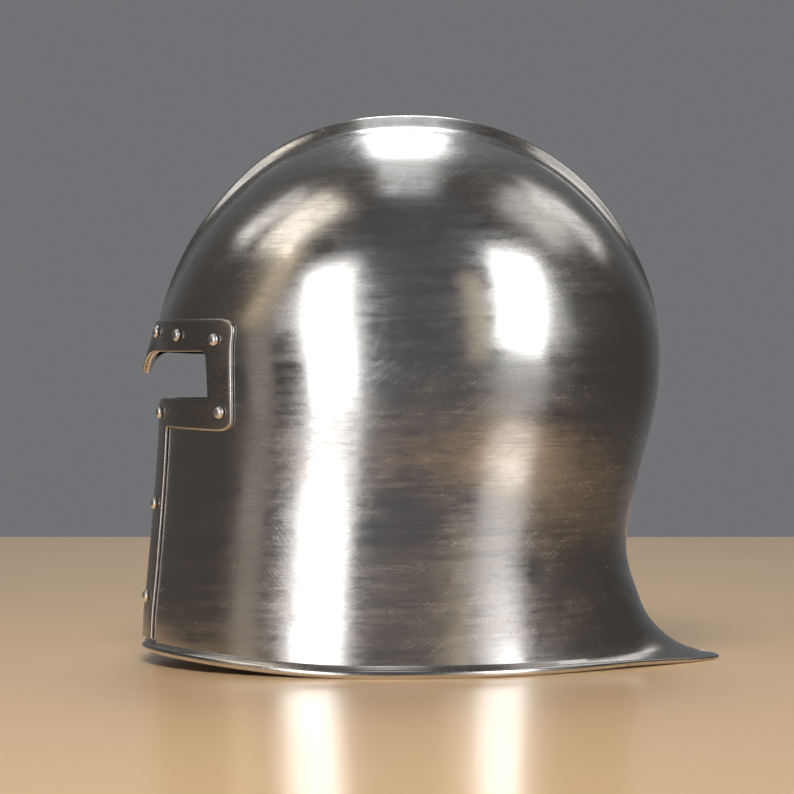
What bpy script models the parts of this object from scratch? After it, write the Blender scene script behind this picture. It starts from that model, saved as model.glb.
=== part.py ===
import math

import bmesh
import bpy
import numpy as np
from mathutils import Matrix, Vector

# Driving sizes, in metres. The face looks along -X, the lower edge rests on Z = 0.
LENGTH = 0.310
HEIGHT = 0.291
WIDTH = 0.210
WALL = 0.0016
GAP = 0.0003
CENTRE_SHIFT = -0.0009

COMB_HEIGHT = 0.0085
COMB_HALF_WIDTH = 0.0125

ROLL_RADIUS = 0.0025
ROLL_TAIL_SHARE = 0.44
ROLL_FRONT_SHARE = 0.72
ROLL_SINK = 0.00055
REST_BAND = 0.00015
TAIL_DROP = 0.0011
FRONT_SWEEP = 0.0067
SWEEP_START = -0.038
SWEEP_RUN = 0.125
SWEEP_TOP = 0.070

SLIT_HALF = 0.018
EYE_HALF = 0.0674
EYE_HALF_LOW = 0.0671
EYE_TOP = 0.1640
EYE_BOTTOM = 0.1393
NASAL_TIP = 0.1525
NASAL_ROOT = 0.0165
BROW_TOP = 0.180
BROW_HALF = 0.0795
CHEEK_HALF = 0.0771
CHEEK_BOTTOM = 0.1223
CHEEK_BOTTOM_INNER = 0.1242
STRIP_HALF = 0.0333
STRIP_HALF_LOW = 0.0347
STRIP_BOTTOM = 0.0135
STRIP_MIDDLE = (SLIT_HALF + STRIP_HALF) / 2
PLATE = 0.0015
PLATE_EDGE = 0.0005

FLICK_SLOPE = 0.33
FLICK_TOP = 0.1745
FLICK_BLEND = 0.006
FLICK_HALF = 0.011
FLICK_FADE = 0.015

RIVET_RADIUS = 0.0032
RIVET_HEIGHT = 0.0023

TAIL_POWER = 9

# One row per level of the plain skull: height of HEIGHT; front, back and widest station
# of LENGTH; half width of WIDTH; tail reach of LENGTH; comb at front and back of COMB_HEIGHT.
SECTIONS = [
    # height, front, back, station, half, tail, comb_front, comb_back
    (0.0086, -0.4932, 0.3600, -0.068, 0.4898, 0.1390, 0.0, 0.0),
    (0.0137, -0.4932, 0.3582, -0.068, 0.4893, 0.1165, 0.0, 0.0),
    (0.0223, -0.4932, 0.3560, -0.068, 0.4883, 0.0900, 0.0, 0.0),
    (0.0313, -0.4930, 0.3545, -0.068, 0.4874, 0.0732, 0.0, 0.0),
    (0.0498, -0.4925, 0.3520, -0.068, 0.4855, 0.0515, 0.0, 0.0),
    (0.0869, -0.4908, 0.3480, -0.067, 0.4825, 0.0263, 0.0, 0.0),
    (0.1237, -0.4876, 0.3450, -0.066, 0.4804, 0.0150, 0.0, 0.0),
    (0.1608, -0.4844, 0.3420, -0.065, 0.4788, 0.0058, 0.0, 0.0),
    (0.1976, -0.4815, 0.3403, -0.064, 0.4776, 0.0007, 0.0, 0.0),
    (0.2347, -0.4786, 0.3420, -0.062, 0.4769, 0.0, 0.0, 0.0),
    (0.3086, -0.4729, 0.3550, -0.058, 0.4765, 0.0, 0.0, 0.0),
    (0.3825, -0.4674, 0.3722, -0.053, 0.4830, 0.0, 0.0, 0.0),
    (0.4564, -0.4648, 0.3895, -0.046, 0.4925, 0.0, 0.0, 0.0),
    (0.5395, -0.4692, 0.3980, -0.039, 0.4990, 0.0, 0.0, 0.0),
    (0.6134, -0.4680, 0.3935, -0.037, 0.4963, 0.0, 0.06, 0.08),
    (0.6588, -0.4524, 0.3820, -0.037, 0.4872, 0.0, 0.25, 0.25),
    (0.7653, -0.4004, 0.3314, -0.037, 0.4410, 0.0, 0.51, 0.54),
    (0.8547, -0.3289, 0.2613, -0.037, 0.3623, 0.0, 0.72, 0.76),
    (0.9223, -0.2442, 0.1710, -0.037, 0.2524, 0.0, 0.89, 0.89),
    (0.9608, -0.1432, 0.0687, -0.037, 0.1231, 0.0, 0.98, 0.98),
    (0.9704, -0.0370, -0.0370, -0.037, 0.0, 0.0, 1.0, 1.0),
]

# Across the comb: distance from the middle of COMB_HALF_WIDTH, height of the comb.
COMB_SHAPE = [
    # offset, height
    (0.00, 1.00),
    (0.12, 0.93),
    (0.26, 0.68),
    (0.42, 0.40),
    (0.60, 0.18),
    (0.80, 0.05),
    (1.00, 0.00),
]

# Lateral lines kept on every ring beside the middle plane, of COMB_HALF_WIDTH.
MIDDLE_LINES = [0.0, 0.14, 0.30, 0.50, 0.74, 1.04, 1.42, 1.90]
MIDDLE_SHARE = 0.55
SIDE_STEPS = 9

# Heights of the rings of the shell, of HEIGHT, above the roll and below the dome.
WALL_RINGS = [
    0.0215, 0.0275, 0.038, 0.054, 0.078, 0.104, 0.132, 0.164, 0.200, 0.240, 0.288,
    0.342, 0.396, 0.440, 0.478, 0.506, 0.531, 0.552, 0.572, 0.592, 0.614,
]
DOME_RINGS = 11
LAST_RING_SHARE = 0.5

# Turn of the roll section in degrees, from the wall outwards, down and back to the wall.
ROLL_TURNS = [-72, -38, -4, 30, 62, 90, 118, 150]

# Corners of the face border, one side, from the middle of the brow to the foot of the strip.
# inner and outer are (y, z); reach is how far from the corner its rounding starts.
BORDER_CORNERS = [
    # name, inner_y, inner_z, inner_reach, outer_y, outer_z, outer_reach, steps_before
    ("nasal_tip", 0.0038, NASAL_TIP, 0.0028, 0.009, BROW_TOP, 0.0040, 1),
    ("nasal_root", NASAL_ROOT, EYE_TOP, 0.0050, 0.026, BROW_TOP, 0.0060, 2),
    ("brow_outer", EYE_HALF, 0.1632, 0.0032, BROW_HALF, BROW_TOP, 0.0080, 9),
    ("cheek_outer", EYE_HALF_LOW, EYE_BOTTOM, 0.0020, CHEEK_HALF, CHEEK_BOTTOM, 0.0065, 4),
    ("cheek_inner", SLIT_HALF, EYE_BOTTOM, 0.0095, STRIP_HALF, CHEEK_BOTTOM_INNER, 0.0025, 8),
]
BORDER_FOOT_STEPS = 7

# Rounding of the slit's lower corners: distance out from SLIT_HALF, height above FRONT_SWEEP.
SLIT_FOOT = [
    # out, up
    (0.0000, 0.0060),
    (0.0003, 0.0040),
    (0.0012, 0.0022),
    (0.0028, 0.0008),
    (0.0055, 0.0000),
    (0.0055, -0.0300),
]

CORNER_STEPS = 4

# The prism that cuts the opening: where its middle stands and how far it reaches each way.
CUTTER_STATION = -0.120
CUTTER_REACH = 0.070

# Rivets of one side: name, distance from the middle plane, height.
RIVETS = [
    # name, side, height
    ("brow_inner", STRIP_MIDDLE, BROW_TOP - 0.0060),
    ("brow_mid", 0.636 * BROW_HALF, BROW_TOP - 0.0082),
    ("brow_outer", BROW_HALF - 0.0074, BROW_TOP - 0.0108),
    ("cheek_outer", CHEEK_HALF - 0.0042, CHEEK_BOTTOM + 0.0099),
    ("cheek_inner", STRIP_MIDDLE, CHEEK_BOTTOM + 0.0095),
    ("slit_mid", STRIP_MIDDLE, 0.0838),
    ("slit_low", STRIP_MIDDLE, 0.0347),
]

STEEL = (0.56, 0.55, 0.53, 1.0)
BORDER_STEEL = (0.60, 0.59, 0.57, 1.0)
RIVET_STEEL = (0.62, 0.61, 0.59, 1.0)


# Smooth curve through the section table

def spline_bends(knots, values):
    """Second derivatives at the knots of the smooth curve through the values."""
    count = len(knots)
    step = np.diff(knots)
    system = np.eye(count)
    right = np.zeros(count)
    for i in range(1, count - 1):
        system[i, i - 1] = step[i - 1] / 6
        system[i, i] = (step[i - 1] + step[i]) / 3
        system[i, i + 1] = step[i] / 6
        rise_after = (values[i + 1] - values[i]) / step[i]
        rise_before = (values[i] - values[i - 1]) / step[i - 1]
        right[i] = rise_after - rise_before
    return np.linalg.solve(system, right)


def spline_at(knots, values, bends, place):
    """Value of the smooth curve at each place along the knots."""
    i = np.clip(np.searchsorted(knots, place) - 1, 0, len(knots) - 2)
    span = knots[i + 1] - knots[i]
    before = (knots[i + 1] - place) / span
    after = (place - knots[i]) / span
    straight = before * values[i] + after * values[i + 1]
    bend = (before ** 3 - before) * bends[i] + (after ** 3 - after) * bends[i + 1]
    return straight + bend * span ** 2 / 6


class Skull:
    """Outer surface of the helmet as rings of the section table."""

    def __init__(self):
        rows = np.array(SECTIONS)
        height = rows[:, 0] * HEIGHT
        station = rows[:, 3] * LENGTH
        front = station - rows[:, 1] * LENGTH
        back = rows[:, 2] * LENGTH - station
        half = rows[:, 4] * WIDTH
        tail = rows[:, 5] * LENGTH
        chord = np.hypot(np.diff(height), np.diff(back + tail))
        rise = np.concatenate([[0.0], np.cumsum(chord)])
        self.crown = rise[-1]
        self.knots = np.concatenate([rise, 2 * self.crown - rise[-2::-1]])
        even = [height, station, tail, rows[:, 6] * COMB_HEIGHT, rows[:, 7] * COMB_HEIGHT]
        odd = [front, back, half]
        columns = [np.concatenate([value, value[-2::-1]]) for value in even]
        columns += [np.concatenate([value, -value[-2::-1]]) for value in odd]
        names = ["height", "station", "tail", "comb_front", "comb_back", "front", "back", "half"]
        self.curves = {}
        for name, values in zip(names, columns):
            self.curves[name] = (values, spline_bends(self.knots, values))
        shape = np.array(COMB_SHAPE)
        self.comb_offsets = np.concatenate([-shape[:0:-1, 0], shape[:, 0]])
        self.comb_heights = np.concatenate([shape[:0:-1, 1], shape[:, 1]])
        self.comb_bends = spline_bends(self.comb_offsets, self.comb_heights)
        self.scan = np.linspace(0.0, self.crown, 4000)
        self.scan_height = self.column("height", self.scan)

    def column(self, name, place):
        values, bends = self.curves[name]
        return spline_at(self.knots, values, bends, np.asarray(place, dtype=float))

    def place_of_height(self, height):
        return np.interp(height, self.scan_height, self.scan)

    def plain(self, place, turn):
        """Points of the skull without comb, for places up the wall and turns round it."""
        cos = np.cos(turn)
        back_side = np.clip(-cos, 0.0, 1.0)
        station = self.column("station", place)
        front = self.column("front", place) * np.clip(cos, 0.0, 1.0)
        back = self.column("back", place) * back_side
        tail = self.column("tail", place) * back_side ** TAIL_POWER
        x = station - front + back + tail + CENTRE_SHIFT
        y = self.column("half", place) * np.sin(turn)
        z = self.column("height", place) + 0.0 * x
        sweep = smooth_ramp((SWEEP_START - x) / SWEEP_RUN)
        low = np.clip(1 - z / SWEEP_TOP, 0.0, 1.0)
        z = z + FRONT_SWEEP * sweep * low ** 1.5 - TAIL_DROP * back_side ** TAIL_POWER * low ** 4
        return np.stack([x, y, z], axis=-1)

    def outer(self, place, turn):
        """Points of the finished outer surface."""
        points = self.plain(place, turn)
        normals = self.normals(self.plain, place, turn)
        front_side = 0.5 + 0.5 * np.cos(turn)
        front = self.column("comb_front", place)
        back = self.column("comb_back", place)
        comb = np.clip(front * front_side + back * (1 - front_side), 0.0, None)
        offset = np.clip(points[..., 1] / COMB_HALF_WIDTH, -1.0, 1.0)
        shape = spline_at(self.comb_offsets, self.comb_heights, self.comb_bends, offset)
        comb = comb * np.clip(shape, 0.0, 1.0)
        points = points + normals * comb[..., None]
        points[..., 0] -= flick(points[..., 1], points[..., 2], np.cos(turn) > 0)
        return points

    def normals(self, surface, place, turn):
        """Outward unit normals of a surface by small steps along it."""
        step = self.crown * 1e-4
        place = np.minimum(place, self.crown - 2 * step)
        along = surface(place + step, turn) - surface(place - step, turn)
        round_it = surface(place, turn + 1e-4) - surface(place, turn - 1e-4)
        cross = np.cross(along, round_it)
        return cross / np.maximum(np.linalg.norm(cross, axis=-1, keepdims=True), 1e-15)

    def facing(self, y, z):
        """Points of the front of the outer surface above (y, z) seen from the front."""
        y, z = np.broadcast_arrays(np.asarray(y, float), np.asarray(z, float))
        ring = z.copy()
        for _ in range(6):
            place = self.place_of_height(ring)
            half = self.column("half", place)
            turn = np.arcsin(np.clip(y / half, -1.0, 1.0))
            points = self.outer(place, turn)
            ring = ring + (z - points[..., 2])
        return points

    def on_front(self, y, z, lift):
        """Points held off the front of the shell by lift along its normal."""
        step = 1e-5
        side = self.facing(y + step, z) - self.facing(y - step, z)
        rise = self.facing(y, z + step) - self.facing(y, z - step)
        normal = np.cross(rise, side)
        normal /= np.linalg.norm(normal, axis=-1, keepdims=True)
        return self.facing(y, z) + normal * np.asarray(lift)[..., None], normal


def smooth_ramp(value):
    value = np.clip(value, 0.0, 1.0)
    return value * value * (3 - 2 * value)


def flick(y, z, on_front):
    """How far the nasal and the brow above it turn forward."""
    drop = FLICK_TOP - z
    eased = np.where(drop < FLICK_BLEND, np.clip(drop + FLICK_BLEND, 0, None) ** 2, 0.0)
    eased = eased / (4 * FLICK_BLEND)
    forward = FLICK_SLOPE * np.where(drop < FLICK_BLEND, eased, drop)
    sideways = 1 - smooth_ramp((np.abs(y) - FLICK_HALF) / FLICK_FADE)
    below = smooth_ramp((z - EYE_BOTTOM) / (NASAL_TIP - EYE_BOTTOM - 0.002))
    return np.where(on_front, forward * sideways * below, 0.0)


# Blender helpers

def clear_scene():
    for item in list(bpy.data.objects):
        bpy.data.objects.remove(item, do_unlink=True)


def new_collection(name):
    collection = bpy.data.collections.new(name)
    bpy.context.scene.collection.children.link(collection)
    return collection


def new_material(name, colour, roughness):
    material = bpy.data.materials.new(name)
    material.use_nodes = True
    shader = material.node_tree.nodes["Principled BSDF"]
    shader.inputs["Base Color"].default_value = colour
    shader.inputs["Roughness"].default_value = roughness
    shader.inputs["Metallic"].default_value = 1.0
    material.diffuse_color = colour
    return material


def mesh_object(name, vertices, faces, collection):
    mesh = bpy.data.meshes.new(name)
    mesh.from_pydata([tuple(vertex) for vertex in vertices], [], faces)
    fill = bmesh.new()
    fill.from_mesh(mesh)
    bmesh.ops.recalc_face_normals(fill, faces=fill.faces)
    fill.to_mesh(mesh)
    fill.free()
    item = bpy.data.objects.new(name, mesh)
    collection.objects.link(item)
    return item


def shade_round(item, degrees):
    item.data.shade_smooth()
    item.data.set_sharp_from_angle(angle=math.radians(degrees))


# Skull shell

def ring_turns(half):
    """Turns round a ring: fixed lines beside the middle plane, even ones at the sides."""
    lines = np.array(MIDDLE_LINES) * COMB_HALF_WIDTH
    lines = lines * min(1.0, MIDDLE_SHARE * half / lines[-1])
    near = np.arcsin(lines / half)
    steps = np.arange(1, SIDE_STEPS + 1) / SIDE_STEPS
    side = near[-1] + (math.pi / 2 - near[-1]) * steps
    front = np.concatenate([near, side])
    half_ring = np.concatenate([front, math.pi - front[-2::-1]])
    return np.concatenate([half_ring, 2 * math.pi - half_ring[-2:0:-1]])


def ring_places(skull):
    """Places of the rings up the wall, from the cove above the roll to near the crown."""
    wall = skull.place_of_height(np.array(WALL_RINGS) * HEIGHT)
    steps = np.arange(1, DOME_RINGS + 1) / (DOME_RINGS + 1)
    dome = wall[-1] + (skull.crown - wall[-1]) * steps
    last = skull.crown - (skull.crown - dome[-1]) * LAST_RING_SHARE
    return np.concatenate([wall, dome, [last]])


def roll_rings(skull, turns):
    """Rings of the outward roll round the lower edge, flat where it rests."""
    place = np.zeros_like(turns)
    edge = skull.outer(place, turns)
    normal = skull.normals(skull.outer, place + skull.crown * 2e-4, turns)
    above = skull.outer(place + skull.crown * 2e-3, turns)
    down = edge - above
    down -= normal * np.sum(down * normal, axis=-1, keepdims=True)
    down /= np.linalg.norm(down, axis=-1, keepdims=True)
    at_tail = np.clip(-np.cos(turns), 0.0, 1.0) ** TAIL_POWER
    at_front = np.clip(np.cos(turns), 0.0, 1.0) ** TAIL_POWER
    slimmer = (1 - ROLL_TAIL_SHARE) * at_tail + (1 - ROLL_FRONT_SHARE) * at_front
    radius = (ROLL_RADIUS * (1 - slimmer))[:, None]
    centre = edge + normal * (radius - WALL)
    rings = []
    for degrees in ROLL_TURNS:
        angle = math.radians(degrees)
        ring = centre + radius * (math.cos(angle) * normal + math.sin(angle) * down)
        low = ring[:, 2] - ROLL_SINK
        ring[:, 2] = np.where(low < REST_BAND, 0.0, low)
        rings.append(ring)
    return rings


def shell_body(skull, collection, material):
    places = ring_places(skull)
    outer = []
    inner = []
    for place in places:
        turns = ring_turns(float(skull.column("half", place)))
        spots = np.full_like(turns, place)
        points = skull.outer(spots, turns)
        normals = skull.normals(skull.outer, spots, turns)
        outer.append(points)
        inner.append(points - normals * WALL)
    roll = roll_rings(skull, ring_turns(float(skull.column("half", 0.0))))
    rings = outer[::-1] + roll + inner
    count = len(rings[0])
    crown = skull.outer(np.array([skull.crown]), np.array([0.0]))[0]
    crown[1] = 0.0
    vertices = [point for ring in rings for point in ring]
    vertices.append(crown)
    vertices.append(crown - np.array([0.0, 0.0, WALL]))
    faces = []
    for row in range(len(rings) - 1):
        for column in range(count):
            after = (column + 1) % count
            low = row * count
            faces.append((low + column, low + after, low + count + after, low + count + column))
    last = (len(rings) - 1) * count
    for column in range(count):
        after = (column + 1) % count
        faces.append((len(vertices) - 2, after, column))
        faces.append((len(vertices) - 1, last + column, last + after))
    item = mesh_object("skull_shell", vertices, faces, collection)
    item.data.materials.append(material)
    return item


def opening_cutter(inner_run, collection):
    """Prism of the face opening seen from the front, open past the lower edge."""
    foot = [(SLIT_HALF + out, FRONT_SWEEP + up) for out, up in SLIT_FOOT]
    side = list(inner_run[:-1]) + foot
    outline = side + [(-y, z) for y, z in side[:0:-1]]
    curve = bpy.data.curves.new("face_opening_cutter", "CURVE")
    curve.dimensions = "2D"
    curve.fill_mode = "BOTH"
    curve.extrude = CUTTER_REACH
    spline = curve.splines.new("POLY")
    spline.points.add(len(outline) - 1)
    for point, (y, z) in zip(spline.points, outline):
        point.co = (y, z, 0.0, 1.0)
    spline.use_cyclic_u = True
    flat = bpy.data.objects.new("face_opening_curve", curve)
    collection.objects.link(flat)
    bpy.context.view_layer.update()
    evaluated = flat.evaluated_get(bpy.context.evaluated_depsgraph_get())
    mesh = bpy.data.meshes.new_from_object(evaluated)
    bpy.data.objects.remove(flat, do_unlink=True)
    weld = bmesh.new()
    weld.from_mesh(mesh)
    bmesh.ops.remove_doubles(weld, verts=weld.verts, dist=1e-6)
    bmesh.ops.recalc_face_normals(weld, faces=weld.faces)
    axes = Matrix(((0, 0, 1, CUTTER_STATION), (1, 0, 0, 0), (0, 1, 0, 0), (0, 0, 0, 1)))
    bmesh.ops.transform(weld, matrix=axes, verts=weld.verts)
    weld.to_mesh(mesh)
    weld.free()
    cutter = bpy.data.objects.new("face_opening_cutter", mesh)
    collection.objects.link(cutter)
    cutter.display_type = "WIRE"
    cutter.hide_render = True
    return cutter


def cut_opening(shell, cutter):
    modifier = shell.modifiers.new("face_opening", "BOOLEAN")
    modifier.operation = "DIFFERENCE"
    modifier.solver = "EXACT"
    modifier.object = cutter
    shade_round(shell, 35)


# Face border

def corner_points(before, corner, after, reach):
    """Rounded corner from reach before it to reach after it."""
    start = corner + (before - corner) * reach / np.linalg.norm(before - corner)
    end = corner + (after - corner) * reach / np.linalg.norm(after - corner)
    points = []
    for step in range(CORNER_STEPS + 1):
        share = step / CORNER_STEPS
        points.append(start * (1 - share) ** 2 + corner * 2 * share * (1 - share) + end * share ** 2)
    return points


def border_run(corners, first, last):
    """Points of one outline of the border, with the same count for both outlines."""
    spots = [np.array(first)] + [np.array(spot) for spot, _, _ in corners] + [np.array(last)]
    run = [spots[0]]
    for index, (_, reach, steps) in enumerate(corners):
        bend = corner_points(spots[index], spots[index + 1], spots[index + 2], reach)
        start = run[-1]
        for step in range(1, steps):
            run.append(start + (bend[0] - start) * step / steps)
        run += bend
    start = run[-1]
    for step in range(1, BORDER_FOOT_STEPS + 1):
        run.append(start + (spots[-1] - start) * step / BORDER_FOOT_STEPS)
    return np.array(run)


def border_outlines():
    inner = [((row[1], row[2]), row[3], row[7]) for row in BORDER_CORNERS]
    outer = [((row[4], row[5]), row[6], row[7]) for row in BORDER_CORNERS]
    inner_run = border_run(inner, (0.0, NASAL_TIP), (SLIT_HALF, STRIP_BOTTOM))
    outer_run = border_run(outer, (0.0, BROW_TOP), (STRIP_HALF_LOW, STRIP_BOTTOM))
    return inner_run, outer_run


def face_border(skull, inner_run, outer_run, collection, material):
    """Continuous steel border round the eyes and down both sides of the slit."""
    flip = np.array([-1.0, 1.0])
    inner = np.concatenate([inner_run[:0:-1] * flip, inner_run])
    outer = np.concatenate([outer_run[:0:-1] * flip, outer_run])
    width = np.linalg.norm(outer - inner, axis=1)
    bevel = PLATE_EDGE / width
    low = GAP + 0.0 * width
    shoulder = GAP + PLATE - PLATE_EDGE + 0.0 * width
    top = GAP + PLATE + 0.0 * width
    section = [
        (0.0 * width, low), (0.0 * width, shoulder), (bevel, top), (0.5 + 0.0 * width, top),
        (1 - bevel, top), (1.0 + 0.0 * width, shoulder), (1.0 + 0.0 * width, low),
        (0.5 + 0.0 * width, low),
    ]
    lines = []
    for share, lift in section:
        flat = inner + (outer - inner) * share[:, None]
        points, _ = skull.on_front(flat[:, 0], flat[:, 1], lift)
        lines.append(points)
    vertices = [point for line in lines for point in line]
    count = len(inner)
    faces = []
    for row in range(len(lines)):
        low_row = row * count
        high_row = ((row + 1) % len(lines)) * count
        for column in range(count - 1):
            faces.append((low_row + column, low_row + column + 1, high_row + column + 1, high_row + column))
    faces.append(tuple(row * count for row in range(len(lines))))
    faces.append(tuple(row * count + count - 1 for row in range(len(lines) - 1, -1, -1)))
    item = mesh_object("face_border", vertices, faces, collection)
    item.data.materials.append(material)
    shade_round(item, 35)
    return item


# Rivets

def rivet_mesh(collection, material):
    """Domed rivet head turned from its half section."""
    profile = [(0.0, 0.0), (RIVET_RADIUS * 0.94, 0.0), (RIVET_RADIUS, RIVET_HEIGHT * 0.16)]
    for degrees in (38, 68):
        angle = math.radians(degrees)
        profile.append((RIVET_RADIUS * math.cos(angle), RIVET_HEIGHT * math.sin(angle)))
    profile.append((0.0, RIVET_HEIGHT))
    mesh = bpy.data.meshes.new("rivet_section")
    edges = [(index, index + 1) for index in range(len(profile) - 1)]
    mesh.from_pydata([(radius, 0.0, height) for radius, height in profile], edges, [])
    item = bpy.data.objects.new("rivet_section", mesh)
    collection.objects.link(item)
    screw = item.modifiers.new("turn", "SCREW")
    screw.axis = "Z"
    screw.steps = 12
    screw.render_steps = 12
    screw.use_merge_vertices = True
    screw.merge_threshold = 1e-6
    bpy.context.view_layer.update()
    evaluated = item.evaluated_get(bpy.context.evaluated_depsgraph_get())
    turned = bpy.data.meshes.new_from_object(evaluated)
    bpy.data.objects.remove(item, do_unlink=True)
    weld = bmesh.new()
    weld.from_mesh(turned)
    bmesh.ops.remove_doubles(weld, verts=weld.verts, dist=1e-6)
    bmesh.ops.recalc_face_normals(weld, faces=weld.faces)
    weld.to_mesh(turned)
    weld.free()
    turned.name = "rivet_head"
    turned.materials.clear()
    turned.materials.append(material)
    turned.shade_smooth()
    turned.set_sharp_from_angle(angle=math.radians(40))
    return turned


def place_rivets(skull, mesh, collection):
    for name, y, z in RIVETS:
        for side, sign in (("left", -1), ("right", 1)):
            lift = 2 * GAP + PLATE
            point, normal = skull.on_front(np.array([y * sign]), np.array([z]), np.array([lift]))
            item = bpy.data.objects.new(f"rivet_{name}_{side}", mesh)
            turn = Vector(normal[0]).to_track_quat("Z", "Y").to_matrix().to_4x4()
            item.matrix_world = Matrix.Translation(Vector(point[0])) @ turn
            collection.objects.link(item)


def main():
    clear_scene()
    parts = new_collection("barbute_helmet")
    tools = new_collection("cutters")
    steel = new_material("shell_steel", STEEL, 0.28)
    border_steel = new_material("border_steel", BORDER_STEEL, 0.30)
    rivet_steel = new_material("rivet_steel", RIVET_STEEL, 0.32)
    skull = Skull()
    inner_run, outer_run = border_outlines()
    shell = shell_body(skull, parts, steel)
    cutter = opening_cutter([tuple(point) for point in inner_run], tools)
    cut_opening(shell, cutter)
    face_border(skull, inner_run, outer_run, parts, border_steel)
    place_rivets(skull, rivet_mesh(tools, rivet_steel), parts)


if __name__ == "__main__":
    main()
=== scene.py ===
"""Steel barbute helmet: its finished look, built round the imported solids."""

import logging
import math
from collections.abc import Callable
from dataclasses import dataclass, field
from enum import Enum
from typing import NamedTuple

import bpy
import numpy as np
from mathutils import Matrix, Vector


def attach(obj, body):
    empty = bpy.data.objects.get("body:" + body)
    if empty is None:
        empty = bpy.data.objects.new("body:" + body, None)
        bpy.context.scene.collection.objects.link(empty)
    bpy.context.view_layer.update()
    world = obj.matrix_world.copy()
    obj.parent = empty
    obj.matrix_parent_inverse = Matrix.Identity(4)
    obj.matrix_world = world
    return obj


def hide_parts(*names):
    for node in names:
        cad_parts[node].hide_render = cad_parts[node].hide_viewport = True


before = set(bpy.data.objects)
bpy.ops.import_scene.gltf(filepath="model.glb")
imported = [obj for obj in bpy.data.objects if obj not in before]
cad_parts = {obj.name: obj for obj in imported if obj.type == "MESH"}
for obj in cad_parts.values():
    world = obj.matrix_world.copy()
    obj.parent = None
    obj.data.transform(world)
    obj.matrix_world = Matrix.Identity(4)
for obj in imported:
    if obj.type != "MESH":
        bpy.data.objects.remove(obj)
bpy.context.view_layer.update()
LOG = logging.getLogger("barbute")

Inputs = dict[int | str, object]
Array = np.ndarray
Pair = tuple[float, float]
Triple = tuple[float, float, float]

Surface = Callable[[Array, Array], Array]

WHITE: Triple = (1.0, 1.0, 1.0)
WALL_GREY: Triple = (0.165, 0.170, 0.178)
NEAR_GREY: Triple = (0.095, 0.097, 0.108)
MIDDLE = 0.5  # middle value of a noise
MERGE_DISTANCE = 1e-7
SHORTEST = 1e-15

# One row per level of the plain skull, in the order of LEVEL_NAMES: height as a share of the
# helmet's height; front, back, widest station and reach of the tail as shares of its length;
# half width as a share of its width; comb at front and back as shares of its full height.
LEVELS: tuple[tuple[float, ...], ...] = (
    (0.0086, -0.4932, 0.3600, -0.068, 0.4898, 0.1390, 0.0, 0.0),
    (0.0137, -0.4932, 0.3582, -0.068, 0.4893, 0.1165, 0.0, 0.0),
    (0.0223, -0.4932, 0.3560, -0.068, 0.4883, 0.0900, 0.0, 0.0),
    (0.0313, -0.4930, 0.3545, -0.068, 0.4874, 0.0732, 0.0, 0.0),
    (0.0498, -0.4925, 0.3520, -0.068, 0.4855, 0.0515, 0.0, 0.0),
    (0.0869, -0.4908, 0.3480, -0.067, 0.4825, 0.0263, 0.0, 0.0),
    (0.1237, -0.4876, 0.3450, -0.066, 0.4804, 0.0150, 0.0, 0.0),
    (0.1608, -0.4844, 0.3420, -0.065, 0.4788, 0.0058, 0.0, 0.0),
    (0.1976, -0.4815, 0.3403, -0.064, 0.4776, 0.0007, 0.0, 0.0),
    (0.2347, -0.4786, 0.3420, -0.062, 0.4769, 0.0, 0.0, 0.0),
    (0.3086, -0.4729, 0.3550, -0.058, 0.4765, 0.0, 0.0, 0.0),
    (0.3825, -0.4674, 0.3722, -0.053, 0.4830, 0.0, 0.0, 0.0),
    (0.4564, -0.4648, 0.3895, -0.046, 0.4925, 0.0, 0.0, 0.0),
    (0.5395, -0.4692, 0.3980, -0.039, 0.4990, 0.0, 0.0, 0.0),
    (0.6134, -0.4680, 0.3935, -0.037, 0.4963, 0.0, 0.06, 0.08),
    (0.6588, -0.4524, 0.3820, -0.037, 0.4872, 0.0, 0.25, 0.25),
    (0.7653, -0.4004, 0.3314, -0.037, 0.4410, 0.0, 0.51, 0.54),
    (0.8547, -0.3289, 0.2613, -0.037, 0.3623, 0.0, 0.72, 0.76),
    (0.9223, -0.2442, 0.1710, -0.037, 0.2524, 0.0, 0.89, 0.89),
    (0.9608, -0.1432, 0.0687, -0.037, 0.1231, 0.0, 0.98, 0.98),
    (0.9704, -0.0370, -0.0370, -0.037, 0.0, 0.0, 1.0, 1.0),
)
LEVEL_NAMES = ("height", "front", "back", "station", "half", "tail", "comb_front", "comb_back")

# Across the comb: offset from the middle of its half width, share of its height.
COMB_ACROSS: tuple[Pair, ...] = (
    (0.00, 1.00), (0.12, 0.93), (0.26, 0.68), (0.42, 0.40), (0.60, 0.18), (0.80, 0.05), (1.00, 0.00),
)


class Side(Enum):
    """Side of the wearer, with its sign along Y."""

    LEFT = -1
    RIGHT = 1


class RivetSpot(Enum):
    """Place of a rivet on one side: distance from the middle plane and height."""

    BROW_INNER = (0.02565, 0.1740)
    BROW_MID = (0.05056, 0.1718)
    BROW_OUTER = (0.0721, 0.1692)
    CHEEK_OUTER = (0.0729, 0.1322)
    CHEEK_INNER = (0.02565, 0.1318)
    SLIT_MID = (0.02565, 0.0838)
    SLIT_LOW = (0.02565, 0.0347)


# Smooth curves

def curve_bends(knots: Array, values: Array) -> Array:
    """Second derivatives at the knots of the smooth curve through the values.

    Args:
        knots: Rising places of the values.
        values: One value at each knot.

    Returns:
        One second derivative at each knot, zero at both ends.
    """
    count = len(knots)
    step = np.diff(knots)
    system = np.eye(count)
    right = np.zeros(count)
    for i in range(1, count - 1):
        system[i, i - 1:i + 2] = (step[i - 1] / 6, (step[i - 1] + step[i]) / 3, step[i] / 6)
        right[i] = (values[i + 1] - values[i]) / step[i] - (values[i] - values[i - 1]) / step[i - 1]
    return np.linalg.solve(system, right)


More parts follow.
